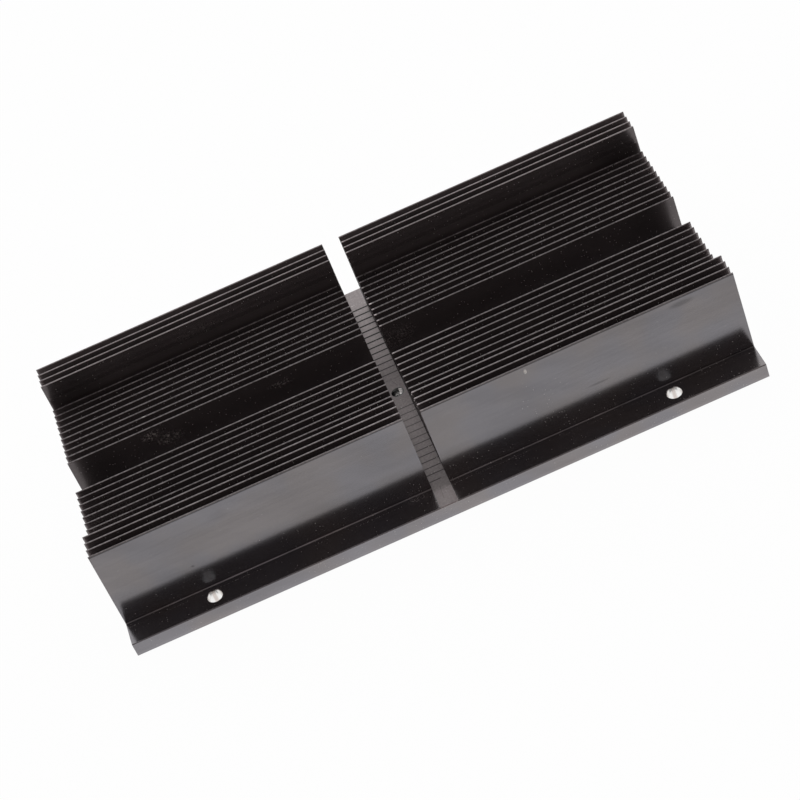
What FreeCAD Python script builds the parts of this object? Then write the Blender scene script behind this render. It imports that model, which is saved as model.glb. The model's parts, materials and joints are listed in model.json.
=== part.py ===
import FreeCAD, Part
import math
import os
from enum import IntEnum

import Sketcher

# Extruded aluminium heat sink, in millimetres.
# One profile runs the whole length: a flat base, two mirrored banks of fins, a wide
# channel along the middle and a plain flange along each side. The four outer fins of
# each bank are tall and the ten inner ones low, so the tall fins wall in a recess.
# A cutter has then milled one slot straight across all the fins, down to the base,
# and the flanges and the middle of the base are drilled.
# Origin: centre of the base's underside. X runs along the fins, Y across them, Z up.

NODE = "heat_sink"

SIZES = [
    # The extruded profile
    ("overall_length", 250),
    ("base_thickness", 6.35),
    ("base_edge_radius", 0.45),
    ("flange_width", 11.95),          # outermost fin's middle plane to the base's long edge
    ("fin_pitch", 3.7),
    ("channel_span", 17.9),           # between the middle planes of the two innermost fins
    ("low_fins_per_bank", 10),
    ("tall_fins_per_bank", 4),
    ("low_fin_height", 26),           # above the base
    ("tall_fin_height", 36.3),        # above the base
    ("fin_root_thickness", 1),
    ("fin_root_radius", 0.4),
    ("fin_tip_thickness", 0.7),       # across the start of the tip's full round
    # The cuts made after extrusion
    ("cross_slot_width", 7),
    ("flange_hole_diameter", 5.8),
    ("flange_hole_deburr", 0.2),      # chamfer left by the deburring tool
    ("flange_hole_offset", 5.95),     # outward from the outermost fin's middle plane
    ("flange_hole_end_distance", 34),
    ("centre_hole_diameter", 5),      # thread's major diameter, M5
]

# Sizes that follow from the driving ones
INNERMOST_FIN = "sizes.channel_span / 2"
FIRST_TALL_FIN = f"({INNERMOST_FIN} + sizes.low_fins_per_bank * sizes.fin_pitch)"
OUTERMOST_FIN = f"({FIRST_TALL_FIN} + (sizes.tall_fins_per_bank - 1) * sizes.fin_pitch)"
BASE_WIDTH = f"2 * ({OUTERMOST_FIN} + sizes.flange_width)"
FIN_FOOT_WIDTH = "(sizes.fin_root_thickness + 2 * sizes.fin_root_radius)"
FIN_TIP_RADIUS = "sizes.fin_tip_thickness / 2"
FIN_SEAT_LEVEL = "sizes.base_thickness / 2"
FLANGE_HOLE_LINE = f"({OUTERMOST_FIN} + sizes.flange_hole_offset)"
FLANGE_HOLE_STATION = "(sizes.overall_length / 2 - sizes.flange_hole_end_distance)"


class At(IntEnum):
    """The numbers by which the constraints know the origin and a piece of geometry's points."""
    ORIGIN = -1
    START = 1
    END = 2
    CENTRE = 3


def make_sizes(doc):
    """Write the driving dimensions into the sheet, one row each."""
    sheet = doc.addObject("Spreadsheet::Sheet", "sizes")
    for row, (alias, value) in enumerate(SIZES, start=1):
        sheet.set(f"A{row}", alias)
        sheet.set(f"B{row}", str(value))
        sheet.setAlias(f"B{row}", alias)
    doc.recompute()
    return sheet


def origin_feature(body, role):
    """Find one of the body's own planes or axes."""
    return next(item for item in body.Origin.OriginFeatures if item.Role == role)


def new_sketch(body, name, plane, level=None):
    """Start a sketch on one of the body's planes, raised to a level where one is given."""
    sketch = body.newObject("Sketcher::SketchObject", name)
    sketch.AttachmentSupport = [(origin_feature(body, plane), "")]
    sketch.MapMode = "FlatFace"
    if level:
        sketch.setExpression("AttachmentOffset.Base.z", level)
    body.Document.recompute()
    return sketch


def drive(sketch, name, expression, kind, *points):
    """Add a dimension to the sketch and tie it to the sheet."""
    value = float(sketch.evalExpression(expression))
    index = sketch.addConstraint(Sketcher.Constraint(kind, *map(int, points), value))
    sketch.renameConstraint(index, name)
    sketch.setExpression(f"Constraints.{name}", expression)


def relate(sketch, kind, *points):
    """Add a constraint that has no size."""
    sketch.addConstraint(Sketcher.Constraint(kind, *map(int, points)))


def add_line(sketch, start, end, construction=False):
    """Draw a line between two (x, y) points and give its number."""
    line = Part.LineSegment(FreeCAD.Vector(*start, 0), FreeCAD.Vector(*end, 0))
    return sketch.addGeometry(line, construction)


def add_arc(sketch, centre, radius, first_quarter, last_quarter):
    """Draw an arc between two counts of quarter turns, and give its number."""
    quarter_turn = math.pi / 2
    circle = Part.Circle(FreeCAD.Vector(*centre, 0), FreeCAD.Vector(0, 0, 1), radius)
    arc = Part.ArcOfCircle(circle, first_quarter * quarter_turn, last_quarter * quarter_turn)
    return sketch.addGeometry(arc, False)


def centred_rectangle(sketch, width, depth):
    """Draw a rectangle about the sketch's origin, with its two sizes tied to the sheet."""
    x = sketch.evalExpression(width) / 2
    y = sketch.evalExpression(depth) / 2
    corners = [(-x, -y), (x, -y), (x, y), (-x, y)]
    bottom, right, top, left = [
        add_line(sketch, corners[side], corners[(side + 1) % 4]) for side in range(4)
    ]
    for side, following in ((bottom, right), (right, top), (top, left), (left, bottom)):
        relate(sketch, "Coincident", side, At.END, following, At.START)
    for side in (bottom, top):
        relate(sketch, "Horizontal", side)
    for side in (left, right):
        relate(sketch, "Vertical", side)
    relate(sketch, "Symmetric", bottom, At.START, top, At.START, At.ORIGIN, At.START)
    drive(sketch, "rectangle_width", width, "DistanceX", bottom, At.START, bottom, At.END)
    drive(sketch, "rectangle_depth", depth, "DistanceY", right, At.START, right, At.END)


def fin_section(body, name, middle, tip_level):
    """Draw one fin's cross-section: rounded roots, slightly tapered sides and a round tip."""
    sketch = new_sketch(body, name, "YZ_Plane")
    value = sketch.evalExpression
    middle_y = value(middle)
    seat_z = value(FIN_SEAT_LEVEL)
    base_z = value("sizes.base_thickness")
    root = value("sizes.fin_root_radius")
    root_z = base_z + root
    tip = value(FIN_TIP_RADIUS)
    tip_z = value(tip_level) - tip
    foot = value(FIN_FOOT_WIDTH) / 2
    neck = foot - root

    seat = add_line(sketch, (middle_y - foot, seat_z), (middle_y + foot, seat_z))
    right_foot = add_line(sketch, (middle_y + foot, seat_z), (middle_y + foot, base_z))
    right_root = add_arc(sketch, (middle_y + foot, root_z), root, 2, 3)
    right_side = add_line(sketch, (middle_y + neck, root_z), (middle_y + tip, tip_z))
    tip_round = add_arc(sketch, (middle_y, tip_z), tip, 0, 2)
    left_side = add_line(sketch, (middle_y - tip, tip_z), (middle_y - neck, root_z))
    left_root = add_arc(sketch, (middle_y - foot, root_z), root, 3, 4)
    left_foot = add_line(sketch, (middle_y - foot, base_z), (middle_y - foot, seat_z))
    axis = add_line(sketch, (middle_y, seat_z), (middle_y, tip_z), construction=True)

    # The corners at the foot, which lie inside the base or on its top face
    relate(sketch, "Coincident", seat, At.END, right_foot, At.START)
    relate(sketch, "Coincident", right_foot, At.END, right_root, At.END)
    relate(sketch, "Coincident", left_root, At.START, left_foot, At.START)
    relate(sketch, "Coincident", left_foot, At.END, seat, At.START)
    for side in (right_foot, left_foot, axis):
        relate(sketch, "Vertical", side)

    # The roots leave the base level, and everything above runs on smoothly
    relate(sketch, "Vertical", right_root, At.CENTRE, right_root, At.END)
    relate(sketch, "Vertical", left_root, At.CENTRE, left_root, At.START)
    relate(sketch, "Tangent", right_root, At.START, right_side, At.START)
    relate(sketch, "Tangent", right_side, At.END, tip_round, At.START)
    relate(sketch, "Tangent", tip_round, At.END, left_side, At.START)
    relate(sketch, "Tangent", left_side, At.END, left_root, At.END)

    # Both sides mirror each other about the fin's middle plane
    relate(sketch, "Symmetric", seat, At.START, seat, At.END, axis)
    relate(sketch, "Horizontal", right_foot, At.END, left_foot, At.START)
    relate(sketch, "Equal", right_root, left_root)
    relate(sketch, "PointOnObject", axis, At.START, seat)
    relate(sketch, "Coincident", axis, At.END, tip_round, At.CENTRE)

    drive(sketch, "middle_plane", middle, "DistanceX", At.ORIGIN, At.START, axis, At.START)
    drive(sketch, "seat_level", FIN_SEAT_LEVEL, "DistanceY", At.ORIGIN, At.START, axis, At.START)
    drive(sketch, "base_level", "sizes.base_thickness", "DistanceY", At.ORIGIN, At.START, right_foot, At.END)
    drive(sketch, "tip_centre", f"{tip_level} - {FIN_TIP_RADIUS}", "DistanceY", At.ORIGIN, At.START, axis, At.END)
    drive(sketch, "foot_width", FIN_FOOT_WIDTH, "DistanceX", seat, At.START, seat, At.END)
    drive(sketch, "root_radius", "sizes.fin_root_radius", "Radius", right_root)
    drive(sketch, "tip_radius", FIN_TIP_RADIUS, "Radius", tip_round)
    return sketch


def extrude(body, sketch, name):
    """Push a section out both ways to the heat sink's whole length."""
    pad = body.newObject("PartDesign::Pad", name)
    pad.Profile = sketch
    pad.SideType = "Symmetric"
    pad.setExpression("Length", "sizes.overall_length")
    body.Document.recompute()
    return pad


def base_plate(body):
    """Make the flat base, with its four long edges softened by the die."""
    section = new_sketch(body, "base_section", "YZ_Plane")
    half_thickness = "sizes.base_thickness / 2"
    section.setExpression("AttachmentOffset.Base.y", half_thickness)
    centred_rectangle(section, BASE_WIDTH, "sizes.base_thickness")
    plate = extrude(body, section, "base_plate")
    long_edges = [
        f"Edge{number}"
        for number, edge in enumerate(plate.Shape.Edges, start=1)
        if abs(edge.tangentAt(edge.FirstParameter).x) > 0.99
    ]
    rounds = body.newObject("PartDesign::Fillet", "base_edge_rounds")
    rounds.Base = (plate, long_edges)
    rounds.setExpression("Radius", "sizes.base_edge_radius")
    body.Document.recompute()


def fin_bank(body, name, middle, tip_level, count):
    """Make one fin, repeat it outward at the pitch, and mirror the row to the other bank."""
    fin = extrude(body, fin_section(body, f"{name}_section", middle, tip_level), name)
    row = body.newObject("PartDesign::LinearPattern", f"{name}_row")
    row.Direction = (origin_feature(body, "Y_Axis"), [""])
    row.Mode = "Spacing"
    row.setExpression("Offset", "sizes.fin_pitch")
    row.setExpression("Occurrences", count)
    twin = body.newObject("PartDesign::Mirrored", f"{name}_mirror")
    twin.MirrorPlane = (origin_feature(body, "XZ_Plane"), [""])
    bank = body.newObject("PartDesign::MultiTransform", f"{name}_banks")
    bank.Originals = [fin]
    bank.Transformations = [row, twin]
    body.Tip = bank
    body.Document.recompute()


def cross_slot(body):
    """Mill the slot across all the fins at mid-length, down to the top of the base."""
    sketch = new_sketch(body, "cross_slot_outline", "XY_Plane", "sizes.base_thickness")
    centred_rectangle(sketch, "sizes.cross_slot_width", BASE_WIDTH)
    slot = body.newObject("PartDesign::Pocket", "cross_slot")
    slot.Profile = sketch
    slot.Type = "ThroughAll"
    slot.Reversed = True
    body.Document.recompute()


def drill(body, name, sketch, diameter, deburr=None):
    """Drill right through at each circle of the sketch, and chamfer the mouth if asked."""
    hole = body.newObject("PartDesign::Hole", name)
    hole.Profile = sketch
    body.Document.recompute()
    hole.DepthType = "ThroughAll"
    hole.setExpression("Diameter", diameter)
    if deburr:
        hole.HoleCutType = "Countersink"
        hole.HoleCutCustomValues = True
        hole.HoleCutCountersinkAngle = 90
        hole.setExpression("HoleCutDiameter", f"{diameter} + 2 * {deburr}")
    body.Document.recompute()


def flange_holes(body):
    """Drill the four plain screw holes, two in each flange."""
    sketch = new_sketch(body, "flange_hole_places", "XY_Plane", "sizes.base_thickness")
    radius = sketch.evalExpression("sizes.flange_hole_diameter") / 2
    x = sketch.evalExpression(FLANGE_HOLE_STATION)
    y = sketch.evalExpression(FLANGE_HOLE_LINE)
    places = [(x, y), (-x, y), (-x, -y), (x, -y)]
    first, second, third, fourth = [
        sketch.addGeometry(Part.Circle(FreeCAD.Vector(*place, 0), FreeCAD.Vector(0, 0, 1), radius), False)
        for place in places
    ]
    for circle in (second, third, fourth):
        relate(sketch, "Equal", first, circle)
    relate(sketch, "Symmetric", first, At.CENTRE, third, At.CENTRE, At.ORIGIN, At.START)
    relate(sketch, "Symmetric", second, At.CENTRE, fourth, At.CENTRE, At.ORIGIN, At.START)
    relate(sketch, "Horizontal", first, At.CENTRE, second, At.CENTRE)
    relate(sketch, "Vertical", first, At.CENTRE, fourth, At.CENTRE)
    drive(sketch, "hole_size", "sizes.flange_hole_diameter", "Diameter", first)
    drive(sketch, "hole_station", FLANGE_HOLE_STATION, "DistanceX", At.ORIGIN, At.START, first, At.CENTRE)
    drive(sketch, "hole_line", FLANGE_HOLE_LINE, "DistanceY", At.ORIGIN, At.START, first, At.CENTRE)
    drill(body, "flange_holes", sketch, "sizes.flange_hole_diameter", "sizes.flange_hole_deburr")


def centre_hole(body):
    """Drill the tapped hole in the middle of the slot's floor."""
    sketch = new_sketch(body, "centre_hole_place", "XY_Plane", "sizes.base_thickness")
    radius = sketch.evalExpression("sizes.centre_hole_diameter") / 2
    circle = sketch.addGeometry(Part.Circle(FreeCAD.Vector(), FreeCAD.Vector(0, 0, 1), radius), False)
    relate(sketch, "Coincident", circle, At.CENTRE, At.ORIGIN, At.START)
    drive(sketch, "hole_size", "sizes.centre_hole_diameter", "Diameter", circle)
    drill(body, "centre_hole", sketch, "sizes.centre_hole_diameter")


def heat_sink(doc):
    """Build the whole heat sink, and make sure that each cut has taken metal away."""
    body = doc.addObject("PartDesign::Body", NODE)
    body.Label = NODE
    low_tip = "sizes.base_thickness + sizes.low_fin_height"
    tall_tip = "sizes.base_thickness + sizes.tall_fin_height"
    base_plate(body)
    fin_bank(body, "low_fin", INNERMOST_FIN, low_tip, "sizes.low_fins_per_bank")
    fin_bank(body, "tall_fin", FIRST_TALL_FIN, tall_tip, "sizes.tall_fins_per_bank")
    for cut in (cross_slot, flange_holes, centre_hole):
        volume_before = body.Shape.Volume
        cut(body)
        if body.Shape.Volume >= volume_before:
            raise RuntimeError(f"{cut.__name__} took nothing away")
    return body


def check(doc, body):
    """Stop if any object of the document has failed or the solid isn't sound."""
    for item in doc.Objects:
        if "Invalid" in item.State or "Error" in item.State:
            raise RuntimeError(f"{item.Name} has failed: {item.State}")
    for item in doc.Objects:
        if item.isDerivedFrom("Sketcher::SketchObject") and not item.FullyConstrained:
            raise RuntimeError(f"{item.Name} is not fully constrained")
    shape = body.Shape
    if shape.isNull() or not shape.isValid() or len(shape.Solids) != 1:
        raise RuntimeError(f"{body.Label} is not one sound solid")


def main():
    doc = FreeCAD.newDocument("extruded_heat_sink")
    make_sizes(doc)
    body = heat_sink(doc)
    doc.recompute()
    check(doc, body)
    os.makedirs("parts", exist_ok=True)
    body.Shape.exportStep(f"parts/{body.Label}.step")
    box = body.Shape.BoundBox
    print(f"{body.Label}: {box.XLength:.3f} x {box.YLength:.3f} x {box.ZLength:.3f} mm, "
          f"{body.Shape.Volume / 1000:.2f} cm3, {len(body.Shape.Faces)} faces")


main()
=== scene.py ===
import json
import logging
import math
from dataclasses import dataclass, field
from enum import Enum
from typing import Any, Union

import bpy
from mathutils import Matrix, Vector


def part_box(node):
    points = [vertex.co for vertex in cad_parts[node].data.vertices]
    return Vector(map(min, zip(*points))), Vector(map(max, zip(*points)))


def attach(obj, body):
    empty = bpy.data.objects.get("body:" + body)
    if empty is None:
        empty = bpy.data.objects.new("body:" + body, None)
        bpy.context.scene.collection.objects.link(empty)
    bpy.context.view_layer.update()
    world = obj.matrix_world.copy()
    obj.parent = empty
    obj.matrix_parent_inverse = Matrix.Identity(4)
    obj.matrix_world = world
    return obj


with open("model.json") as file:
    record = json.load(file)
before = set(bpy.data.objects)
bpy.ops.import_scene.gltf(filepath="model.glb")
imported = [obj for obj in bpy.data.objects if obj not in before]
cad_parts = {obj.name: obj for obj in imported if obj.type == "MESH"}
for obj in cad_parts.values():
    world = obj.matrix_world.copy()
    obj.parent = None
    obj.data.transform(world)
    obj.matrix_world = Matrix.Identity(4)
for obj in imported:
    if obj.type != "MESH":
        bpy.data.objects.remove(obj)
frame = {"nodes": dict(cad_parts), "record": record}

LOG = logging.getLogger("heat_sink_scene")

MM = 0.001
BODY = "root"
NODE = "heat_sink"

# How softly a mask ends where the surface has an edge of its own, in millimetres.
EDGE = 0.1

Number = Union[float, "Value"]
Triple = tuple[float, float, float]


class RayKind(Enum):
    """The kinds of ray that a stage material may answer in its own way."""

    CAMERA = "Is Camera Ray"
    GLOSSY = "Is Glossy Ray"


class Axis(Enum):
    """A row axis, as an index into a vector."""

    WIDTH = 1
    HEIGHT = 2


@dataclass(frozen=True)
class Band:
    """A stretch of a coordinate, by its middle and half width, and what a mask adds there."""

    middle: float
    reach: float
    softness: float
    amount: float = 1.0


@dataclass(frozen=True)
class Rise:
    """A smooth change from one place on a coordinate to another, and what a mask adds past it."""

    start: float
    end: float
    amount: float = 1.0


@dataclass(frozen=True)
class Pattern:
    """A smooth random pattern, with how much the surface is squeezed under it on each axis."""

    fineness: float
    detail: float = 2.0
    squeeze: Triple = (1.0, 1.0, 1.0)


@dataclass(frozen=True)
class Grains:
    """Small round grains: how close they lie, how large they are and what share is kept."""

    closeness: float
    radius: float
    kept: float
    core: float = 0.5


class Value:
    """A shader socket that carries a number, so that masks are written as arithmetic."""

    def __init__(self, sheet: "NodeSheet", socket: bpy.types.NodeSocket) -> None:
        """Wrap a socket.

        Args:
            sheet: The node sheet that the socket belongs to.
            socket: The output socket that carries the number.
        """
        self.sheet = sheet
        self.socket = socket

    def __add__(self, other: Number) -> "Value":
        """Add a number or a socket."""
        return self.sheet.math("ADD", self, other)

    def __sub__(self, other: Number) -> "Value":
        """Take a number or a socket away."""
        return self.sheet.math("SUBTRACT", self, other)

    def __rsub__(self, other: Number) -> "Value":
        """Take this socket away from a number."""
        return self.sheet.math("SUBTRACT", other, self)

    def __mul__(self, other: Number) -> "Value":
        """Multiply by a number or a socket."""
        return self.sheet.math("MULTIPLY", self, other)

    def __truediv__(self, other: Number) -> "Value":
        """Divide by a number or a socket."""
        return self.sheet.math("DIVIDE", self, other)

    def __abs__(self) -> "Value":
        """Drop the sign."""
        return self.sheet.math("ABSOLUTE", self)

    def larger(self, other: Number) -> "Value":
        """Keep the larger of this and another number."""
        return self.sheet.math("MAXIMUM", self, other)

    def root(self) -> "Value":
        """Take the square root."""
        return self.sheet.math("SQRT", self)

    def fraction(self) -> "Value":
        """Keep what lies past the whole number."""
        return self.sheet.math("FRACT", self)

    def ramp(self, low: float, high: float) -> "Value":
        """Rise smoothly from 0 at one value to 1 at another, or fall where the first is larger.

        Args:
            low: The value at which the result is 0.
            high: The value at which the result is 1.

        Returns:
            The smoothed mask.
        """
        rising = float(high > low)
        ends = {
            "From Min": min(low, high),
            "From Max": max(low, high),
            "To Min": 1 - rising,
            "To Max": rising,
        }
        smooth = {"interpolation_type": "SMOOTHSTEP"}
        node = self.sheet.add("ShaderNodeMapRange", smooth, {"Value": self, **ends})
        return Value(self.sheet, node.outputs["Result"])

    def below(self, limit: float, softness: float) -> "Value":
        """Be 1 under a limit and 0 past it, over a stretch of the given softness."""
        return self.ramp(limit + softness / 2, limit - softness / 2)

    def above(self, limit: float, softness: float) -> "Value":
        """Be 1 over a limit and 0 before it, over a stretch of the given softness."""
        return self.ramp(limit - softness / 2, limit + softness / 2)

    def near(self, centre: float, reach: float, softness: float) -> "Value":
        """Be 1 within a reach of a centre and 0 outside it."""
        return abs(self - centre).below(reach, softness)

    def within(self, band: Band) -> "Value":
        """Give a band's amount inside the band and 0 outside it."""
        return self.near(band.middle, band.reach, band.softness) * band.amount

    def along(self, rise: Rise) -> "Value":
        """Give 0 before a rise and the rise's amount past it."""
        return self.ramp(rise.start, rise.end) * rise.amount


class NodeSheet:
    """A node tree under construction, with the object's coordinates in millimetres."""

    def __init__(self, tree: bpy.types.NodeTree) -> None:
        """Empty a node tree and start on it.

        Args:
            tree: The node tree of a material or a world.
        """
        self.tree = tree
        self.tree.nodes.clear()

    def add(
        self, kind: str, settings: dict[str, Any], inputs: dict[str | int, Any]
    ) -> bpy.types.Node:
        """Add a node, set it up, and fill or link its sockets.

        Args:
            kind: The node's type.
            settings: Properties to set first.
            inputs: A number, colour, Value or socket for each input, by name or index.

        Returns:
            The new node.
        """
        node = self.tree.nodes.new(kind)
        for name, setting in settings.items():
            setattr(node, name, setting)
        for name, given in inputs.items():
            source = given.socket if isinstance(given, Value) else given
            if isinstance(source, bpy.types.NodeSocket):
                self.tree.links.new(source, node.inputs[name])
            else:
                node.inputs[name].default_value = source
        return node

    def math(self, operation: str, *operands: Number) -> Value:
        """Add one Math node.

        Args:
            operation: The node's operation.
            operands: Its inputs, in order.

        Returns:
            The result.
        """
        node = self.add("ShaderNodeMath", {"operation": operation}, dict(enumerate(operands)))
        return Value(self, node.outputs[0])

    def place(self) -> tuple[Value, Value, Value]:
        """Give the object's own coordinates in millimetres.

        Returns:
            The places along the length, the width and the height.
        """
        coordinates = self.add("ShaderNodeTexCoord", {}, {})
        parts = self.add("ShaderNodeSeparateXYZ", {}, {0: coordinates.outputs["Object"]})
        return tuple(Value(self, part) / MM for part in parts.outputs)

    def point(self, *parts: Number) -> bpy.types.NodeSocket:
        """Join three numbers into a vector."""
        node = self.add("ShaderNodeCombineXYZ", {}, dict(enumerate(parts)))
        return node.outputs[0]

    def noise(self, point: bpy.types.NodeSocket, pattern: Pattern) -> Value:
        """Add smooth noise about 0.5.

        Args:
            point: Where to read it.
            pattern: How fine and how detailed it is.

        Returns:
            The noise.
        """
        inputs = {"Vector": point, "Scale": pattern.fineness, "Detail": pattern.detail}
        node = self.add("ShaderNodeTexNoise", {}, inputs)
        return Value(self, node.outputs[0])

    def mix(self, share: Number, first: Any, second: Any) -> bpy.types.NodeSocket:
        """Blend two colours.

        Args:
            share: How much of the second colour there is.
            first: The colour at 0.
            second: The colour at 1.

        Returns:
            The blended colour's socket.
        """
        colours = {"Factor": share, 6: first, 7: second}
        node = self.add("ShaderNodeMix", {"data_type": "RGBA"}, colours)
        return node.outputs[2]


def grey(level: float) -> tuple[float, float, float, float]:
    """Give an opaque neutral colour of one level."""
    return (level, level, level, 1.0)


def opaque(colour: Triple) -> tuple[float, float, float, float]:
    """Give a colour its full opacity."""
    return (*colour, 1.0)


def named_mount(name: str) -> dict[str, Any]:
    """Find one of the record's mounts."""
    return next(mount for mount in frame["record"]["mounts"] if mount["name"] == name)


@dataclass(frozen=True)
class Profile:
    """Where the heat sink's features lie, in millimetres, for the masks of its finish."""

    fin_pitch: float = 3.7
    half_fin: float = 0.45
    innermost_fin: float = 8.95
    low_fins: int = 10
    tall_fins: int = 4
    low_fin_height: float = 26.0
    slot_half_width: float = 3.5
    deburr: float = 0.2
    length: float = field(init=False)
    width: float = field(init=False)
    height: float = field(init=False)
    base_top: float = field(init=False)
    hole_x: float = field(init=False)
    hole_y: float = field(init=False)
    hole_radius: float = field(init=False)
    thread_radius: float = field(init=False)

    def __post_init__(self) -> None:
        """Take what the frame states from the CAD box and the record's mounts."""
        low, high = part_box(NODE)
        screws = named_mount("flange_screw_holes")["dims"]
        centre = named_mount("centre_screw_hole")["dims"]
        stated = {
            "length": (high.x - low.x) / MM,
            "width": (high.y - low.y) / MM,
            "height": (high.z - low.z) / MM,
            "base_top": centre["length_mm"],
            "hole_x": screws["spacing_x_mm"] / 2,
            "hole_y": screws["spacing_y_mm"] / 2,
            "hole_radius": screws["hole_r_mm"],
            "thread_radius": centre["r_mm"],
        }
        for name, value in stated.items():
            object.__setattr__(self, name, value)

    @property
    def first_tall_fin(self) -> float:
        """The middle plane of the tall fin next to the low ones."""
        return self.innermost_fin + self.low_fins * self.fin_pitch

    @property
    def recess_edge(self) -> float:
        """The plane halfway between the last low fin and the first tall one."""
        return self.first_tall_fin - self.fin_pitch / 2

    @property
    def outermost_fin(self) -> float:
        """The middle plane of the outermost fin."""
        return self.first_tall_fin + (self.tall_fins - 1) * self.fin_pitch

    @property
    def low_tip(self) -> float:
        """The level of the low fins' tips."""
        return self.base_top + self.low_fin_height


@dataclass(frozen=True)
class Mark:
    """A soft oval mark that handling left on a surface, in millimetres."""

    place: Triple
    reach: Triple
    strength: float
    core: float = 0.3

    def mask(self, sheet: NodeSheet, point: bpy.types.NodeSocket) -> Value:
        """Give the mark's strength, which fades out between its core and its edge.

        Args:
            sheet: The node sheet.
            point: The place on the surface.

        Returns:
            A mask that is 0 outside the mark.
        """
        where = sheet.add(
            "ShaderNodeMapping",
            {"vector_type": "TEXTURE"},
            {0: point, "Location": self.place, "Scale": self.reach},
        )
        away = sheet.add("ShaderNodeVectorMath", {"operation": "LENGTH"}, {0: where.outputs[0]})
        return Value(sheet, away.outputs["Value"]).ramp(1.0, self.core) * self.strength


class Spot:
    """A spot on a piece's surface, as shader sockets in millimetres."""

    def __init__(self, sheet: NodeSheet) -> None:
        """Read the spot's place.

        Args:
            sheet: The node sheet of the piece's finish.
        """
        self.sheet = sheet
        self.x, self.y, self.z = sheet.place()
        self.point = sheet.point(self.x, self.y, self.z)

    def pattern(self, pattern: Pattern) -> Value:
        """Read a random pattern at this spot.

        Args:
            pattern: The pattern.

        Returns:
            Its value, about 0.5.
        """
        squeezed = self.sheet.add(
            "ShaderNodeVectorMath",
            {"operation": "MULTIPLY"},
            {0: self.point, 1: pattern.squeeze},
        )
        return self.sheet.noise(squeezed.outputs[0], pattern)

    def swing(self, pattern: Pattern) -> Value:
        """Read a random pattern as a swing to both sides of 0."""
        return self.pattern(pattern) - 0.5

    def grains(self, grains: Grains) -> Value:
        """Scatter small round grains, each with a strength of its own.

        Args:
            grains: How close and how large they are.

        Returns:
            A mask that is 0 between the grains.
        """
        inputs = {"Vector": self.point, "Scale": grains.closeness}
        node = self.sheet.add("ShaderNodeTexVoronoi", {}, inputs)
        shade = self.sheet.add("ShaderNodeSeparateColor", {}, {0: node.outputs["Color"]})
        strength = Value(self.sheet, shade.outputs[0]).ramp(1 - grains.kept, 1.0)
        rim = grains.radius * grains.closeness
        away = Value(self.sheet, node.outputs["Distance"])
        return away.ramp(rim, rim * grains.core) * strength

    def marks(self, marks: tuple[Mark, ...]) -> Value:
        """Join several marks into one mask.

        Args:
            marks: The marks.

        Returns:
            The strongest mark at this spot, or 0.
        """
        strongest, *others = (mark.mask(self.sheet, self.point) for mark in marks)
        for other in others:
            strongest = strongest.larger(other)
        return strongest


class Surface(Spot):
    """A spot on the heat sink, with its distance from each feature and the region it is in."""

    BETWEEN_LEVEL = Rise(0.75, 1.25)
    TIP_LEVEL = Rise(-0.375, -0.225)
    INSIDE = Rise(-0.05, -0.15)
    OUTSIDE = Rise(-0.05, 0.05)
    SAWN = Rise(-0.06, -0.02)
    FLOOR = Band(0.0, 0.3, EDGE)
    SIDE_REACH = 0.4

    def __init__(self, sheet: NodeSheet, profile: Profile) -> None:
        """Work out the distances and mark the regions.

        Args:
            sheet: The node sheet of the finish.
            profile: Where the heat sink's features lie.
        """
        super().__init__(sheet)
        self.profile = profile
        self.past_end = abs(self.x) - profile.length / 2
        self.past_outer_fin = abs(self.y) - profile.outermost_fin
        self.over_base = self.z - profile.base_top
        self.over_low_tips = self.z - profile.low_tip
        self.over_tall_tips = self.z - profile.height
        in_slot = abs(self.x).below(profile.slot_half_width, EDGE)
        self.milled = in_slot * self.over_base.within(self.FLOOR)
        by_low_fins = abs(self.y).below(profile.recess_edge, EDGE)
        low_tips = self.over_low_tips.along(self.TIP_LEVEL) * by_low_fins
        self.tips = self.over_tall_tips.along(self.TIP_LEVEL).larger(low_tips)
        inside = self.past_outer_fin.along(self.INSIDE)
        self.between = self.over_base.along(self.BETWEEN_LEVEL) * inside * (1 - self.tips)
        self.outside = self.past_outer_fin.along(self.OUTSIDE)
        self.sawn = self.past_end.along(self.SAWN)
        self.tall_front = self.front_side(profile.first_tall_fin)
        self.open_sides = self.front_side(profile.innermost_fin) + self.tall_front

    def front_side(self, fin: float) -> Value:
        """Mark the front side of the fin whose middle plane is given."""
        return self.y.near(fin - self.profile.half_fin, self.SIDE_REACH, EDGE)


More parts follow.
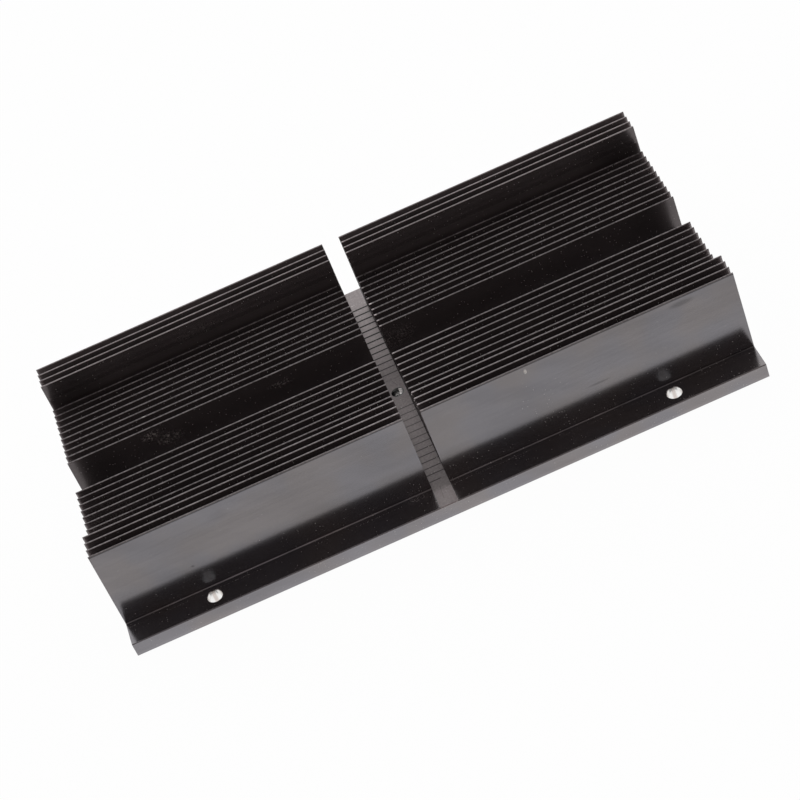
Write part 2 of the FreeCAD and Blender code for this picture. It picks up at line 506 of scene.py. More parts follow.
@dataclass(frozen=True)
class BareAluminium:
    """Bare cut aluminium in the thread, with painted highlights and painted shade in its colour."""

    name: str = "bare_aluminium_painted_light"
    bright: Triple = (0.97, 0.96, 0.95)
    # Painted shade: the grey of the wall wherever no painted highlight is.
    shade_grey: float = 0.08
    roughness: float = 0.2
    pitch: float = 0.8
    flank: Band = Band(0.28, 0.2, 0.14)
    blotches: Pattern = Pattern(0.8)
    blotch_depth: float = 0.4
    blotch_turn: float = 0.1
    back_turn: Band = Band(0.3, 0.17, 0.04)
    back_level: Rise = Rise(4.45, 4.15)
    side_turn: Band = Band(0.07, 0.13, 0.03)
    side_level: Band = Band(4.3, 1.85, 0.3)
    front_place: Rise = Rise(-0.1, -0.5)
    front_level: Rise = Rise(5.1, 4.7)

    def colour(self, spot: Spot) -> bpy.types.NodeSocket:
        """Paint the threaded hole's wall: painted highlight stripes on the flanks of the back wall
        low down, a painted highlight crescent down the right-hand side, the front wall painted
        bright below the mouth, and painted shade elsewhere.

        Args:
            spot: The spot on the wall.

        Returns:
            The wall's colour.
        """
        turn = spot.sheet.math("ARCTAN2", spot.y, spot.x) / (2 * math.pi)
        flank = (spot.z / self.pitch - turn).fraction().within(self.flank)
        blotch = spot.swing(self.blotches) * self.blotch_depth
        back = spot.z.along(self.back_level) * turn.within(self.back_turn) * flank
        side = (turn + blotch * self.blotch_turn).within(self.side_turn)
        side = side * (spot.z + blotch).within(self.side_level)
        front = spot.y.along(self.front_place) * spot.z.along(self.front_level)
        # Painted highlights: flank stripes at the back, a crescent down one side, and the front
        # wall low down.
        painted_glints = back.larger(side).larger(front)
        return spot.sheet.mix(painted_glints, grey(self.shade_grey), opaque(self.bright))

    def material(self) -> bpy.types.Material:
        """Build the finish.

        Returns:
            The material.
        """
        material = bpy.data.materials.new(self.name)
        material.use_nodes = True
        sheet = NodeSheet(material.node_tree)
        colour = self.colour(Spot(sheet))
        shader = sheet.add(
            "ShaderNodeBsdfPrincipled",
            {},
            {"Base Color": colour, "Metallic": 1.0, "Roughness": self.roughness},
        )
        sheet.add("ShaderNodeOutputMaterial", {}, {"Surface": shader.outputs[0]})
        return material


@dataclass(frozen=True)
class ExtrudedSides:
    """What the die left on the sides, streaks and a slight bow, with painted highlights and painted
    shade along the edges, the sawn ends and the outermost fins' roots.
    """

    streaks: Pattern = Pattern(1.1, squeeze=(0.006, 1.0, 1.0))
    streak_depth: float = 0.2
    smears: Pattern = Pattern(0.5, 3.0, (0.07, 0.1, 0.2))
    smear_lean: float = 0.06
    smear_depth: float = 0.4
    # Painted highlight on the base's front and back faces, brightest low down.
    base_edge: Rise = Rise(-0.15, -0.05)
    edge_highlight: float = 0.22
    edge_highlight_low_down: Rise = Rise(2.2, 0.4, 0.2)
    # Painted shade line on the outermost fins' outer faces just under the tips.
    tip_shade_place: Rise = Rise(0.05, 0.15)
    tip_shade_level: Band = Band(-0.5, 0.25, 0.2, 0.6)
    # Painted shade near the open ends and on the sawn end faces.
    near_ends: Rise = Rise(-30.0, -8.0)
    end_shade: float = 0.45
    foot_place: Band = Band(0.7, 0.3, 0.2)
    foot_level: Band = Band(0.2, 0.25, 0.1)
    foot_breaks: Pattern = Pattern(0.09, squeeze=(1.0, 0.0, 0.0))
    foot_break_depth: float = 1.6
    # Where the painted root highlight is brighter, and where it fades.
    foot_bright_stretch: Band = Band(-62.0, 30.0, 30.0, 0.5)
    foot_faint: Rise = Rise(60.0, 120.0, 0.4)
    lean: float = 0.014
    waves: Pattern = Pattern(0.03, squeeze=(1.0, 0.0, 1.0))
    wave_height: float = 0.03
    bow_level: Rise = Rise(0.45, 0.75)

    def die_lines(self, surface: Surface) -> Value:
        """Vary the sheen in faint streaks along the extrusion, and in slow smears.

        Args:
            surface: The heat sink's surface.

        Returns:
            A factor about 1.
        """
        along, across, up = self.smears.squeeze
        slanted = surface.sheet.point(
            surface.x * along, surface.y * across, surface.z * up + surface.x * self.smear_lean
        )
        streaks = surface.swing(self.streaks)
        smears = surface.sheet.noise(slanted, self.smears) - 0.5
        return streaks * self.streak_depth + smears * self.smear_depth + 1.0

    def edges(self, surface: Surface) -> Value:
        """Paint a highlight on the base's front and back faces, a shade line under the outermost
        tips, and shade between the fins near the open ends and on the sawn ends.

        Args:
            surface: The heat sink's surface.

        Returns:
            A factor about 1.
        """
        # Painted highlight on the base's front and back faces, brightest low down.
        base_edge = (abs(surface.y) - surface.profile.width / 2).along(self.base_edge)
        gain = base_edge * (surface.z.along(self.edge_highlight_low_down) + self.edge_highlight)
        # Painted shade line just under the outermost tips.
        over_tips = surface.over_tall_tips.within(self.tip_shade_level)
        tip_shade_line = surface.past_outer_fin.along(self.tip_shade_place) * over_tips
        # Painted shade near the open ends and on the sawn end faces.
        near_ends = surface.past_end.along(self.near_ends) * surface.between
        ends = (near_ends * surface.open_sides).larger(surface.sawn)
        return (gain + 1.0) * (1 - tip_shade_line) * (1 - ends * self.end_shade)

    def foot_highlight(self, surface: Surface) -> Value:
        """Paint a thin broken highlight along the outermost fins' outer roots, brighter in one
        stretch and fainter towards one end.

        Args:
            surface: The heat sink's surface.

        Returns:
            A factor about 1.
        """
        # Painted highlight where the roots' rounding would mirror the floor.
        place = surface.past_outer_fin.within(self.foot_place)
        line = place * surface.over_base.within(self.foot_level)
        breaks = surface.swing(self.foot_breaks) * self.foot_break_depth
        uneven_along = surface.x.within(self.foot_bright_stretch) - surface.x.along(self.foot_faint)
        return line * (breaks + uneven_along) + 1.0

    def bow(self, surface: Surface) -> Value:
        """Give the outer faces of the outermost fins their slight lean and waves.

        Args:
            surface: The heat sink's surface.

        Returns:
            The face's height above its ideal plane, in millimetres.
        """
        outer = surface.outside * surface.over_base.along(self.bow_level)
        waves = surface.swing(self.waves) * self.wave_height
        return outer * (surface.z * self.lean + waves)


@dataclass(frozen=True)
class GapFillLight:
    """How much of its metal look the finish gives up on the fins' sides between the fins, as
    painted fill light that lightens the shaded gaps, more in some gaps.
    """

    everywhere: float = 0.15
    in_banks: Rise = Rise(0.5, 1.5, 0.03)
    back_tall_fins: Rise = Rise(0.5, 1.5, 0.12)
    last_gap: Rise = Rise(-2.5, -1.5, 0.36)
    low_down: Rise = Rise(3.0, 1.0, 0.12)

    def loss(self, surface: Surface) -> Value:
        """Add up the loss.

        Args:
            surface: The heat sink's surface.

        Returns:
            The share of the metal look that is lost, and 0 outside the banks.
        """
        profile = surface.profile
        in_banks = (abs(surface.y) - profile.innermost_fin).along(self.in_banks)
        back_tall_fins = (surface.y - profile.first_tall_fin).along(self.back_tall_fins)
        last_gap = (surface.y - profile.outermost_fin).along(self.last_gap)
        tall_front = surface.tall_front * surface.over_low_tips.along(self.low_down)
        # Painted fill light: more diffuse share in the gaps, most among the back tall fins, in the
        # last gap and low on the first back tall fin's front.
        loss = back_tall_fins + last_gap + in_banks + tall_front + self.everywhere
        return surface.between * loss


@dataclass(frozen=True)
class Scratch:
    """A straight hair-line scratch in the slot's floor, in millimetres."""

    start: tuple[float, float]
    slope: float
    half_width: float
    stretch: Band

    def depth(self, surface: Surface) -> Value:
        """Give the scratch's depth, over its own stretch of the width."""
        off = surface.x - self.start[0] - (surface.y - self.start[1]) * self.slope
        return off.near(0.0, self.half_width, EDGE) * surface.y.within(self.stretch)


@dataclass(frozen=True)
class MilledFloor:
    """The cross slot's floor, with painted shade lines at the cut-off fins' stubs, what the cutter
    left, and painted light and shade along the slot.
    """

    foot_shift: float = 0.75
    foot_reach: float = 0.26
    foot_softness: float = 0.3
    foot_depth: float = 0.72
    bank_softness: float = 0.2
    wider_to_back: Rise = Rise(5.0, 45.0, 0.13)
    deeper_to_back: Rise = Rise(6.0, 30.0, 0.24)
    paler_feet: Band = Band(-18.0, 14.0, 12.0, 0.14)
    innermost_reach: float = 0.6
    innermost_faintness: float = 0.7
    patchy_pitches: float = 1.3
    patchy_place: Rise = Rise(0.6, 1.8, 0.9)
    arc_spacing: float = 0.42
    arc_depth: float = 0.14
    stains: Pattern = Pattern(1.2, squeeze=(1.0, 0.8, 0.0))
    stain_depth: float = 0.75
    # Painted light and shade by place along the slot.
    front_floor_light: Rise = Rise(-58.0, -61.5, 0.42)
    front_floor_shade: Band = Band(-53.0, 6.0, 6.0, 0.12)
    back_floor_light: Rise = Rise(12.0, 24.0, 0.26)
    back_floor_light_end: Rise = Rise(40.0, 56.0, 0.24)
    scratches: tuple[Scratch, Scratch] = (
        Scratch((-0.9, -65.0), 0.06, 0.08, Band(-61.5, 3.5, 1.0, 0.5)),
        Scratch((-0.45, 7.7), -0.378, 0.1, Band(5.65, 2.05, 0.4, 0.5)),
    )

    def stub_shade(self, surface: Surface) -> Value:
        """Paint a thin shade line on the floor at the stub that each fin left there, darker towards
        the back.

        Args:
            surface: The heat sink's surface.

        Returns:
            A factor that is under 1 on the painted shade lines.
        """
        profile = surface.profile
        y = surface.y
        row = (abs(y + self.foot_shift) - profile.innermost_fin) / profile.fin_pitch
        off = abs((row + 0.5).fraction() - 0.5) * profile.fin_pitch
        off = off - y.along(self.wider_to_back)
        fins = profile.low_fins + profile.tall_fins
        past_first = profile.fin_pitch / 2 - profile.outermost_fin
        banks = row.near((fins - 1) / 2, fins / 2, EDGE) * y.above(past_first, self.bank_softness)
        innermost = y.near(profile.innermost_fin - self.foot_shift, self.innermost_reach, EDGE)
        # The painted lines mostly fade out at the front fins on the right-hand side.
        past_patchy = profile.fin_pitch * self.patchy_pitches - profile.outermost_fin
        patchy = y.below(past_patchy, self.bank_softness) * surface.x.along(self.patchy_place)
        # Painted shade: a darker line at the front of each stub, where it would mirror the unlit
        # front.
        stub_shade = off.below(self.foot_reach, self.foot_softness) * banks * surface.milled
        stub_shade = stub_shade * (1 - innermost * self.innermost_faintness) * (1 - patchy)
        depth = y.along(self.deeper_to_back) - y.within(self.paler_feet) + self.foot_depth
        return 1 - stub_shade * depth

    def cutter_marks_and_light(self, surface: Surface) -> Value:
        """Vary the floor with the cutter's fine arcs, small stains and scratches, and with painted
        light and shade by place along the slot.

        Args:
            surface: The heat sink's surface.

        Returns:
            A factor about 1 on the slot's floor, and 1 elsewhere.
        """
        x, y = surface.x, surface.y
        arc = y - (surface.profile.slot_half_width**2 - x * x).larger(0.0).root()
        arcs = ((arc / self.arc_spacing).fraction() - 0.5) * self.arc_depth
        stains = surface.swing(self.stains) * self.stain_depth
        # Painted light and shade along the slot: brighter at its front end and in a stretch towards
        # the back, darker just behind the front end.
        front_floor_light = y.along(self.front_floor_light) - y.within(self.front_floor_shade)
        back_light = y.along(self.back_floor_light) - y.along(self.back_floor_light_end)
        marks = arcs + stains + front_floor_light + back_light
        for scratch in self.scratches:
            marks = marks - scratch.depth(surface)
        return marks * surface.milled + 1.0


@dataclass(frozen=True)
class TipWearAndLight:
    """The fins' rounded tips: an uneven tone along them, painted glints at the cut ends beside the
    slot, painted highlights on the tall tips, towards the back and near the slot, and painted shade
    on the low tips beside the back tall fins.
    """

    sparkle: Pattern = Pattern(1.4, squeeze=(1.0, 0.5, 0.5))
    sparkle_depth: float = 2.3
    uneven_along: Pattern = Pattern(0.06, 1.0, (1.0, 1.0, 0.0))
    uneven_depth: float = 0.5
    glinting: Pattern = Pattern(0.4, 0.0, (0.0, 1.0, 0.0))
    glinting_share: Rise = Rise(0.35, 0.65)
    glint: float = 0.9
    strong_glint: Band = Band(17.0, 10.0, 6.0, 2.0)
    least_glint: float = 0.2
    cut_end: Band = Band(0.5, 0.5, 0.3)
    tall_level: Rise = Rise(1.75, 2.25)
    tall_gain: float = 0.35
    back_tall_gain: Rise = Rise(-0.5, 0.5, 0.2)
    back_gain: Rise = Rise(-32.0, -24.0, 0.09)
    by_slot: Rise = Rise(45.0, 12.0)
    by_slot_front: Rise = Rise(16.0, -8.0, 0.4)
    in_shade: Rise = Rise(32.0, 44.0, 0.42)

    def shade(self, surface: Surface) -> Value:
        """Vary the tips' tone, and paint their highlights and shade.

        Args:
            surface: The heat sink's surface.

        Returns:
            A factor about 1.
        """
        x, y = surface.x, surface.y
        profile = surface.profile
        patchy = surface.swing(self.sparkle) * self.sparkle_depth
        patchy = patchy + surface.swing(self.uneven_along) * self.uneven_depth
        # Painted glints at the cut ends beside the slot, on some fins more than others.
        glinting = surface.pattern(self.glinting).along(self.glinting_share)
        glint = glinting * (y.within(self.strong_glint) + self.glint) + self.least_glint
        cut_ends = (x - profile.slot_half_width).within(self.cut_end) * glint
        # Painted highlight on the tall tips, more on the back ones.
        tall = surface.over_low_tips.along(self.tall_level)
        tall = tall * (y.along(self.back_tall_gain) + self.tall_gain)
        # Painted highlight near the slot, and painted shade on the low tips beside the back tall
        # fins.
        by_slot = abs(x).along(self.by_slot) * y.along(self.by_slot_front)
        in_shade = y.along(self.in_shade) * y.below(profile.recess_edge, EDGE)
        # With a painted highlight towards the back.
        gain = patchy + cut_ends + tall + y.along(self.back_gain) + by_slot - in_shade
        return gain * surface.tips + 1.0


@dataclass(frozen=True)
class Dust:
    """Fine dust, crumbs along the flanges' inner lines, and patches between the fins."""

    colour: Triple = (0.8, 0.77, 0.74)
    fine: Grains = Grains(1.0, 0.17, 0.5)
    coarse: Grains = Grains(0.15, 0.25, 0.5)
    drifts: Pattern = Pattern(0.05)
    drift_share: Rise = Rise(0.38, 0.62, 0.6)
    least_drift: float = 0.4
    end_faces: Rise = Rise(-0.15, -0.05)
    swept_level: Rise = Rise(8.0, 10.0, 0.8)
    speckled: tuple[Mark, ...] = (Mark((42.0, -57.5, 25.0), (20.0, 4.0, 17.0), 1.0),)
    thinned_in_recesses: float = 0.2
    crumbs: Pattern = Pattern(1.7, 3.0)
    crumb_share: Rise = Rise(0.46, 0.7)
    clumps: Pattern = Pattern(0.1, 1.0)
    clump_share: Rise = Rise(0.45, 0.6, 0.4)
    line_place: Band = Band(2.85, 0.25, 0.5)
    line_level: Rise = Rise(0.15, 0.05)
    line_between_clumps: float = 0.02
    thinned_on_tips: float = 0.5
    patches: tuple[Mark, ...] = (
        Mark((-92.0, 8.5, 28.6), (5.5, 1.0, 3.2), 0.6),
        Mark((-86.0, 8.5, 24.2), (7.5, 1.0, 3.6), 0.6),
        Mark((-39.0, 8.5, 26.5), (7.5, 1.0, 2.0), 0.42),
        Mark((-36.0, -12.0, 31.0), (14.0, 4.0, 4.0), 0.2),
        Mark((-62.0, 45.5, 37.5), (12.0, 1.0, 3.0), 0.16),
        Mark((8.0, 8.5, 25.0), (11.0, 1.0, 6.0), 0.26),
        Mark((-10.0, -59.5, 7.0), (7.0, 2.5, 2.0), 0.4),
        Mark((-114.0, -28.0, 31.0), (13.0, 15.0, 6.0), 0.14),
    )

    def mask(self, surface: Surface) -> Value:
        """Say where dust covers the finish.

        Args:
            surface: The heat sink's surface.

        Returns:
            A mask that is 0 where there is no dust.
        """
        drift = surface.pattern(self.drifts).along(self.drift_share) + self.least_drift
        swept = surface.outside * surface.over_base.along(self.swept_level)
        settled = 1 - swept * (1 - surface.marks(self.speckled))
        thinned = 1 - surface.open_sides * self.thinned_in_recesses
        fine = surface.grains(self.fine) * drift * settled * thinned
        specks = fine.larger(surface.grains(self.coarse))
        specks = specks * (1 - surface.past_end.along(self.end_faces))
        crumbs = surface.pattern(self.crumbs).along(self.crumb_share)
        clumps = crumbs * surface.pattern(self.clumps).along(self.clump_share)
        line = surface.past_outer_fin.within(self.line_place)
        line = line * surface.over_base.along(self.line_level)
        line = line * (clumps + self.line_between_clumps)
        patches = surface.marks(self.patches) * crumbs
        dust = specks.larger(line).larger(patches)
        return dust * (1 - surface.tips * self.thinned_on_tips)


@dataclass(frozen=True)
class DrilledHoles:
    """The four plain holes through the flanges, which were drilled after anodising, with painted
    reflections and painted shade on their bare walls.
    """

    bright: Triple = (0.9, 0.89, 0.88)
    # Painted reflection and painted shade: the darker band down the walls' middle, and the grey
    # where walls and rims are unlit.
    reflection_band_colour: Triple = (0.66, 0.6, 0.57)
    shade_grey: float = 0.12
    mask_softness: float = 0.04
    band_middle: float = 0.3
    band: Rise = Rise(1.1, 0.25)
    inner_wall: Rise = Rise(0.5, -0.5)
    chamfer_softness: float = 0.05
    horns: Band = Band(1.5, 0.7, 0.3)
    lit_rim_spots: Pattern = Pattern(1.6)
    lit_rim_share: Rise = Rise(0.42, 0.55)
    outer_wall_light: float = 0.2

    def chamfer(self, surface: Surface) -> Value:
        """Mark the level of the holes' deburred rims."""
        return surface.over_base.above(-surface.profile.deburr, self.chamfer_softness)

    def shade(self, surface: Surface) -> tuple[Value, bpy.types.NodeSocket]:
        """Mark the four holes and paint their walls: the inner wall bright with a painted
        reflection band down its middle, painted shade on the outer wall and the rims, and painted
        highlights at the rims' sides and in random spots on the outer rims.

        Args:
            surface: The heat sink's surface.

        Returns:
            The mask of the holes and their colour.
        """
        profile = surface.profile
        across = abs(surface.x) - profile.hole_x
        outward = abs(surface.y) - profile.hole_y
        away = (across * across + outward * outward).root()
        holes = away.below(profile.hole_radius + profile.deburr, self.mask_softness)
        # Painted reflection: a darker band down the middle of each wall.
        band = abs(across - self.band_middle).along(self.band)
        inner_wall = outward.along(self.inner_wall)
        chamfer = self.chamfer(surface)
        # Painted highlights at the rims' sides, and in random spots on the outer rims.
        horns = abs(across).within(self.horns)
        lit_rim_spots = surface.pattern(self.lit_rim_spots).along(self.lit_rim_share)
        outer_wall = chamfer * lit_rim_spots + (1 - chamfer) * self.outer_wall_light
        # Painted light and shade: the inner wall lit, the outer wall and most of the rims in
        # painted shade.
        lit = inner_wall * (1 - chamfer * (1 - horns)) + (1 - inner_wall) * outer_wall
        band = band * (1 - chamfer)
        wall = surface.sheet.mix(band, opaque(self.bright), opaque(self.reflection_band_colour))
        return holes, surface.sheet.mix(lit, grey(self.shade_grey), wall)


@dataclass(frozen=True)
class BlackAnodising:
    """Satin black anodising on an extrusion, with what making and handling left on it, and with
    painted light and shade in its colour in places.
    """

    name: str = "satin_black_anodising_painted_light"
    cool_sheen: Triple = (0.187, 0.180, 0.192)
    warm_sheen: Triple = (0.196, 0.182, 0.184)
    milled_sheen: Triple = (0.222, 0.199, 0.199)
    tip_sheen: Triple = (0.195, 0.179, 0.182)
    shaded_gap_tint: Triple = (0.212, 0.187, 0.189)
    haze: Pattern = Pattern(0.055, 1.0)
    haze_share: Rise = Rise(0.36, 0.64)
    metallic: float = 0.9
    dust_dulling: float = 0.8
    roughness: float = 0.18
    milled_roughness: float = 0.42
    dust_roughness: float = 0.5
    tip_roughness: float = 0.1
    burr_roughness: float = 0.45
    thread_softness: float = 0.04
    scuffs: tuple[Mark, ...] = (
        Mark((104.0, -57.5, 39.6), (6.5, 1.0, 1.8), 0.3),
        Mark((67.0, -57.5, 20.7), (6.0, 1.0, 0.7), 0.3),
        Mark((-77.0, -57.5, 36.5), (5.0, 1.0, 3.0), 0.08),
        Mark((-93.6, -57.5, 19.0), (0.9, 1.0, 0.5), 0.5),
    )
    chips: tuple[Mark, ...] = (
        Mark((43.4, -57.5, 39.7), (0.7, 1.0, 1.3), 1.0),
        Mark((-92.1, 16.6, 32.3), (1.3, 0.7, 0.7), 1.0),
    )
    sides: ExtrudedSides = ExtrudedSides()
    gaps: GapFillLight = GapFillLight()
    floor: MilledFloor = MilledFloor()
    tips: TipWearAndLight = TipWearAndLight()
    dust: Dust = Dust()
    holes: DrilledHoles = DrilledHoles()
    thread: BareAluminium = BareAluminium()

    def tint(self, surface: Surface) -> bpy.types.NodeSocket:
        """Give each region its own tint of black.

        Args:
            surface: The heat sink's surface.

        Returns:
            The tint.
        """
        sheet = surface.sheet
        haze = surface.pattern(self.haze).along(self.haze_share)
        tint = sheet.mix(haze, opaque(self.cool_sheen), opaque(self.warm_sheen))
        tint = sheet.mix(surface.tips, tint, opaque(self.tip_sheen))
        # Painted shade colour: a warmer tint in the shaded gaps between the fins.
        tint = sheet.mix(surface.between, tint, opaque(self.shaded_gap_tint))
        return sheet.mix(surface.milled, tint, opaque(self.milled_sheen))

    def wear_and_painted_light(self, surface: Surface) -> Value:
        """Join all that lightens or darkens the finish: streaks, stains, scuffs, and painted light
        and shade.

        Args:
            surface: The heat sink's surface.

        Returns:
            A factor about 1.
        """
        return (
            self.sides.die_lines(surface)
            * self.floor.stub_shade(surface)
            * self.floor.cutter_marks_and_light(surface)
            * self.sides.foot_highlight(surface)
            * self.tips.shade(surface)
            * self.sides.edges(surface)
            * (1 - surface.marks(self.scuffs))
        )

    def material(self, profile: Profile) -> bpy.types.Material:
        """Build the finish for the whole extrusion.

        Args:
            profile: Where the holes, the slot and the fins lie.

        Returns:
            The material.
        """
        material = bpy.data.materials.new(self.name)
        material.use_nodes = True
        sheet = NodeSheet(material.node_tree)
        surface = Surface(sheet, profile)
        # The tint, lightened and darkened by stains, scuffs and painted light and shade.
        tint_with_light_and_marks = sheet.add(
            "ShaderNodeVectorMath",
            {"operation": "SCALE"},
            {0: self.tint(surface), "Scale": self.wear_and_painted_light(surface)},
        )
        dust = self.dust.mask(surface).larger(surface.marks(self.chips))
        holes, hole_colour = self.holes.shade(surface)
        burr = holes * self.holes.chamfer(surface) * self.burr_roughness
        from_middle = (surface.x * surface.x + surface.y * surface.y).root()
        thread_edge = profile.thread_radius + self.thread_softness
        thread = from_middle.below(thread_edge, self.thread_softness)
        colour = sheet.mix(dust, tint_with_light_and_marks.outputs[0], opaque(self.dust.colour))
        colour = sheet.mix(holes, colour, hole_colour)
        colour = sheet.mix(thread, colour, self.thread.colour(surface))
        # Less metal look under dust, and in the gaps as painted fill light.
        dust_and_gap_light = self.gaps.loss(surface) + dust * self.dust_dulling
        roughness = (
            surface.milled * (self.milled_roughness - self.roughness)
            + self.roughness
            + dust * self.dust_roughness
            + surface.tips * self.tip_roughness
            + burr
        )
        bow = sheet.add(
            "ShaderNodeBump",
            {},
            {"Height": self.sides.bow(surface), "Strength": 1.0, "Distance": MM},
        )
        shader = sheet.add(
            "ShaderNodeBsdfPrincipled",
            {},
            {
                "Base Color": colour,
                "Metallic": holes.larger(thread).larger((1 - dust_and_gap_light) * self.metallic),
                "Roughness": roughness,
                "Normal": bow.outputs["Normal"],
            },
        )
        sheet.add("ShaderNodeOutputMaterial", {}, {"Surface": shader.outputs[0]})
        return material


@dataclass
class CentreThread:
    """The M5 thread in the middle of the slot's floor, as a ridge that winds up the hole's wall."""

    wall_radius: float
    depth: float
    pitch: float = 0.8
    steps_per_turn: int = 48
    seat: float = 0.03
    triangle_height: float = 0.866
    tooth_share: float = 5 / 8
    foot_share: float = 7 / 8
    crest_share: float = 1 / 4
    spare_turns: int = 2
    weld: float = 1e-7
    smooth_angle: float = 30.0

    def build(self) -> bpy.types.Object:
        """Model the ridge: one tooth section wound up the hole and trimmed at both faces.

        Returns:
            The finished piece, in metres.
        """
        tooth = self.triangle_height * self.pitch * self.tooth_share
        middle = self.wall_radius + self.seat - (tooth + self.seat) / 2
        deselect_all()
        bpy.ops.mesh.primitive_plane_add(
            size=1.0,
            location=(middle * MM, 0.0, -self.pitch * MM),
            rotation=(math.pi / 2, 0.0, 0.0),
        )
        ridge = bpy.context.object
        ridge.name = "centre_hole_thread"
        ridge.scale = ((tooth + self.seat) * MM, self.foot_share * self.pitch * MM, 1.0)
        bpy.ops.object.transform_apply(location=True, rotation=True, scale=True)
        bpy.ops.object.mode_set(mode="EDIT")
        bpy.ops.mesh.select_mode(type="VERT")
        bpy.ops.mesh.select_all(action="DESELECT")
        bpy.ops.object.mode_set(mode="OBJECT")
        for vertex in ridge.data.vertices:
            vertex.select = vertex.co.x < middle * MM
        bpy.ops.object.mode_set(mode="EDIT")
        bpy.ops.transform.resize(
            value=(1.0, 1.0, self.crest_share / self.foot_share),
            center_override=(0.0, 0.0, -self.pitch * MM),
        )
        bpy.ops.object.mode_set(mode="OBJECT")
        winding = ridge.modifiers.new("winding", "SCREW")
        winding.axis = "Z"
        winding.angle = 2 * math.pi
        winding.screw_offset = self.pitch * MM
        winding.iterations = math.ceil(self.depth / self.pitch) + self.spare_turns
        winding.steps = self.steps_per_turn
        winding.render_steps = self.steps_per_turn
        bpy.ops.object.modifier_apply(modifier=winding.name)
        self.trim()
        return ridge

    def trim(self) -> None:
        """Cut the active ridge off level with the base's two faces, and close its ends."""
        bpy.ops.object.mode_set(mode="EDIT")
        for level, clear_inner in ((0.0, True), (self.depth * MM, False)):
            bpy.ops.mesh.select_all(action="SELECT")
            bpy.ops.mesh.bisect(
                plane_co=(0.0, 0.0, level),
                plane_no=(0.0, 0.0, 1.0),
                use_fill=True,
                threshold=self.weld,
                clear_inner=clear_inner,
                clear_outer=not clear_inner,
            )
        bpy.ops.mesh.select_all(action="SELECT")
        bpy.ops.mesh.normals_make_consistent(inside=False)
        bpy.ops.object.mode_set(mode="OBJECT")
        bpy.ops.object.shade_smooth_by_angle(angle=math.radians(self.smooth_angle))

    def dress(self, ridge: bpy.types.Object, finish: BareAluminium) -> None:
        """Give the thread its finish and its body.

        Args:
            ridge: The finished ridge.
            finish: The finish.
        """
        ridge.data.materials.clear()
        ridge.data.materials.append(finish.material())
        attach(ridge, BODY)


@dataclass
class Extrusion:
    """The heat sink's own solid, which comes with the frame."""

    profile: Profile

    def dress(self, finish: BlackAnodising) -> bpy.types.Object:
        """Put the anodised finish on the CAD node.

        Args:
            finish: The finish.

        Returns:
            The CAD node's object.
        """
        node = frame["nodes"][NODE]
        for slot in node.material_slots:
            slot.material = finish.material(self.profile)
        return node


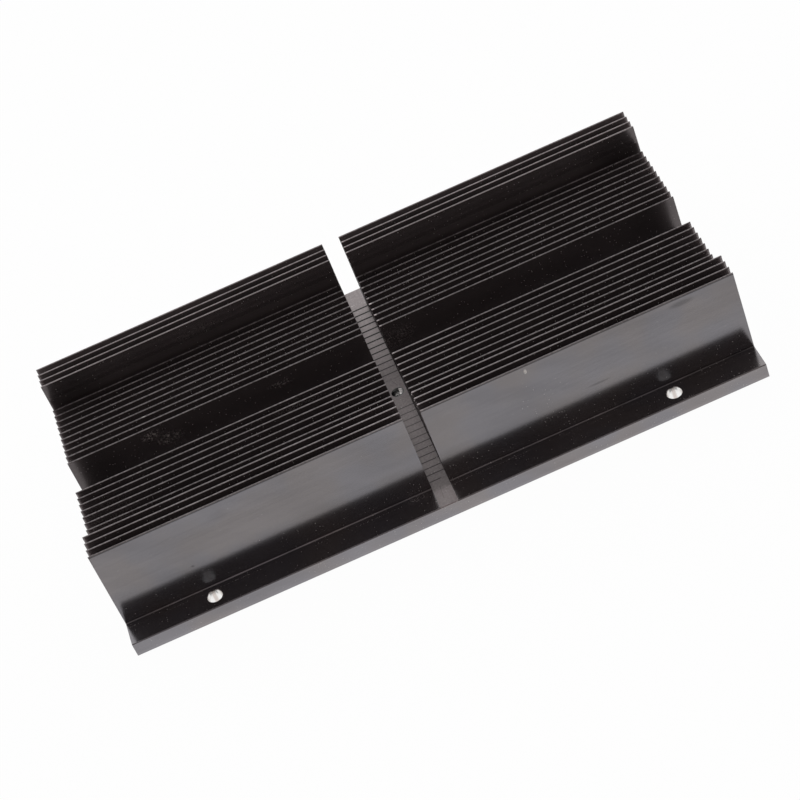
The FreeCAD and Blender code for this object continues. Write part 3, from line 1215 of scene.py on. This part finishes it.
@dataclass
class Studio:
    """A white floor that runs out of sight, a white backdrop and one soft lamp."""

    floor_size: float = 8.0
    floor_level: float = 0.0
    paper_level: float = 0.9
    paper_glow: float = 0.975
    back_glow: float = 1.0
    front_glow: float = 0.25
    front_tint: Triple = (1.0, 0.88, 0.86)
    front_to_back: Rise = Rise(-0.35, 0.35)
    horizon: Rise = Rise(0.02, -0.02)
    softbox_power: float = 6.0
    softbox_size: tuple[float, float] = (3.0, 1.5)
    softbox_place: Triple = (0.0, 1.6, 1.35)
    softbox_aim: Triple = (0.0, 0.0, 0.02)

    def build(self) -> None:
        """Make the floor, the surroundings and the lamp."""
        self.floor()
        self.surroundings()
        self.softbox()

    def floor(self) -> None:
        """Lay the pale floor, which shows white and keeps a soft shadow."""
        deselect_all()
        bpy.ops.mesh.primitive_plane_add(
            size=self.floor_size, location=(0.0, 0.0, self.floor_level)
        )
        floor = bpy.context.object
        floor.name = "floor"
        material = bpy.data.materials.new("white_paper")
        material.use_nodes = True
        sheet = NodeSheet(material.node_tree)
        rays = sheet.add("ShaderNodeLightPath", {}, {})
        camera = Value(sheet, rays.outputs[RayKind.CAMERA.value])
        glossy = Value(sheet, rays.outputs[RayKind.GLOSSY.value])
        share = camera.larger(glossy) * self.paper_glow
        paper = sheet.add("ShaderNodeBsdfDiffuse", {}, {"Color": grey(self.paper_level)})
        glow = sheet.add("ShaderNodeEmission", {}, {"Color": grey(1.0), "Strength": 1.0})
        lit = sheet.add(
            "ShaderNodeMixShader", {}, {0: share, 1: paper.outputs[0], 2: glow.outputs[0]}
        )
        sheet.add("ShaderNodeOutputMaterial", {}, {"Surface": lit.outputs[0]})
        floor.data.materials.append(material)

    def surroundings(self) -> None:
        """Light the room softly: white behind the object and dimmer on the viewer's side."""
        world = bpy.data.worlds.new("white_studio")
        world.use_nodes = True
        bpy.context.scene.world = world
        sheet = NodeSheet(world.node_tree)
        coordinates = sheet.add("ShaderNodeTexCoord", {}, {})
        parts = sheet.add("ShaderNodeSeparateXYZ", {}, {0: coordinates.outputs["Generated"]})
        towards_back = Value(sheet, parts.outputs[Axis.WIDTH.value])
        up = Value(sheet, parts.outputs[Axis.HEIGHT.value])
        rays = sheet.add("ShaderNodeLightPath", {}, {})
        camera = Value(sheet, rays.outputs[RayKind.CAMERA.value])
        behind = towards_back.along(self.front_to_back)
        below = up.along(self.horizon)
        room = (behind * (self.back_glow - self.front_glow) + self.front_glow).larger(below)
        white = behind.larger(camera).larger(below)
        tint = sheet.mix(white, opaque(self.front_tint), grey(1.0))
        background = sheet.add(
            "ShaderNodeBackground", {}, {"Color": tint, "Strength": room.larger(camera)}
        )
        sheet.add("ShaderNodeOutputWorld", {}, {"Surface": background.outputs[0]})

    def softbox(self) -> None:
        """Hang one large soft lamp behind and above the object."""
        lamp = bpy.data.lights.new("softbox", "AREA")
        lamp.shape = "RECTANGLE"
        lamp.size, lamp.size_y = self.softbox_size
        lamp.energy = self.softbox_power
        holder = bpy.data.objects.new("softbox", lamp)
        bpy.context.scene.collection.objects.link(holder)
        holder.location = self.softbox_place
        aim = Vector(self.softbox_aim) - holder.location
        holder.rotation_euler = aim.to_track_quat("-Z", "Y").to_euler()


@dataclass
class PhotoCamera:
    """The camera of the photograph, found from the object's own edges."""

    target: Triple = (-0.5, -4.85, 6.35)
    distance: float = 936.0
    azimuth: float = 1.07
    elevation: float = 40.49
    roll: float = -23.14
    lens: float = 110.79
    sensor: float = 36.0
    nearest: float = 0.05
    farthest: float = 50.0

    def build(self) -> None:
        """Place the camera and make it the scene's own."""
        azimuth = math.radians(self.azimuth)
        elevation = math.radians(self.elevation)
        level = math.cos(elevation)
        ahead = Vector(
            (math.sin(azimuth) * level, math.cos(azimuth) * level, -math.sin(elevation))
        )
        data = bpy.data.cameras.new("photo_camera")
        data.sensor_width = self.sensor
        data.lens = self.lens
        data.clip_start = self.nearest
        data.clip_end = self.farthest
        camera = bpy.data.objects.new("photo_camera", data)
        bpy.context.scene.collection.objects.link(camera)
        upright = ahead.to_track_quat("-Z", "Y").to_matrix()
        rolled = Matrix.Rotation(math.radians(self.roll), 3, ahead.normalized() * -1) @ upright
        place = (Vector(self.target) - ahead * self.distance) * MM
        camera.matrix_world = Matrix.Translation(place) @ rolled.to_4x4()
        bpy.context.scene.camera = camera


def deselect_all() -> None:
    """Leave nothing selected, so that an operator touches only the new piece."""
    bpy.ops.object.select_all(action="DESELECT")


def main() -> None:
    logging.basicConfig(level=logging.INFO, format="%(message)s")
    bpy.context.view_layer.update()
    bpy.context.scene.view_settings.view_transform = "Standard"
    profile = Profile()
    PhotoCamera().build()
    Studio().build()
    LOG.info("camera and studio are in place")
    body = Extrusion(profile).dress(BlackAnodising())
    LOG.info("%s dressed", body.name)
    thread = CentreThread(wall_radius=profile.thread_radius, depth=profile.base_top)
    ridge = thread.build()
    thread.dress(ridge, BareAluminium())
    LOG.info("%s has %d faces", ridge.name, len(ridge.data.polygons))
    bpy.context.view_layer.update()


if __name__ == "__main__":
    main()
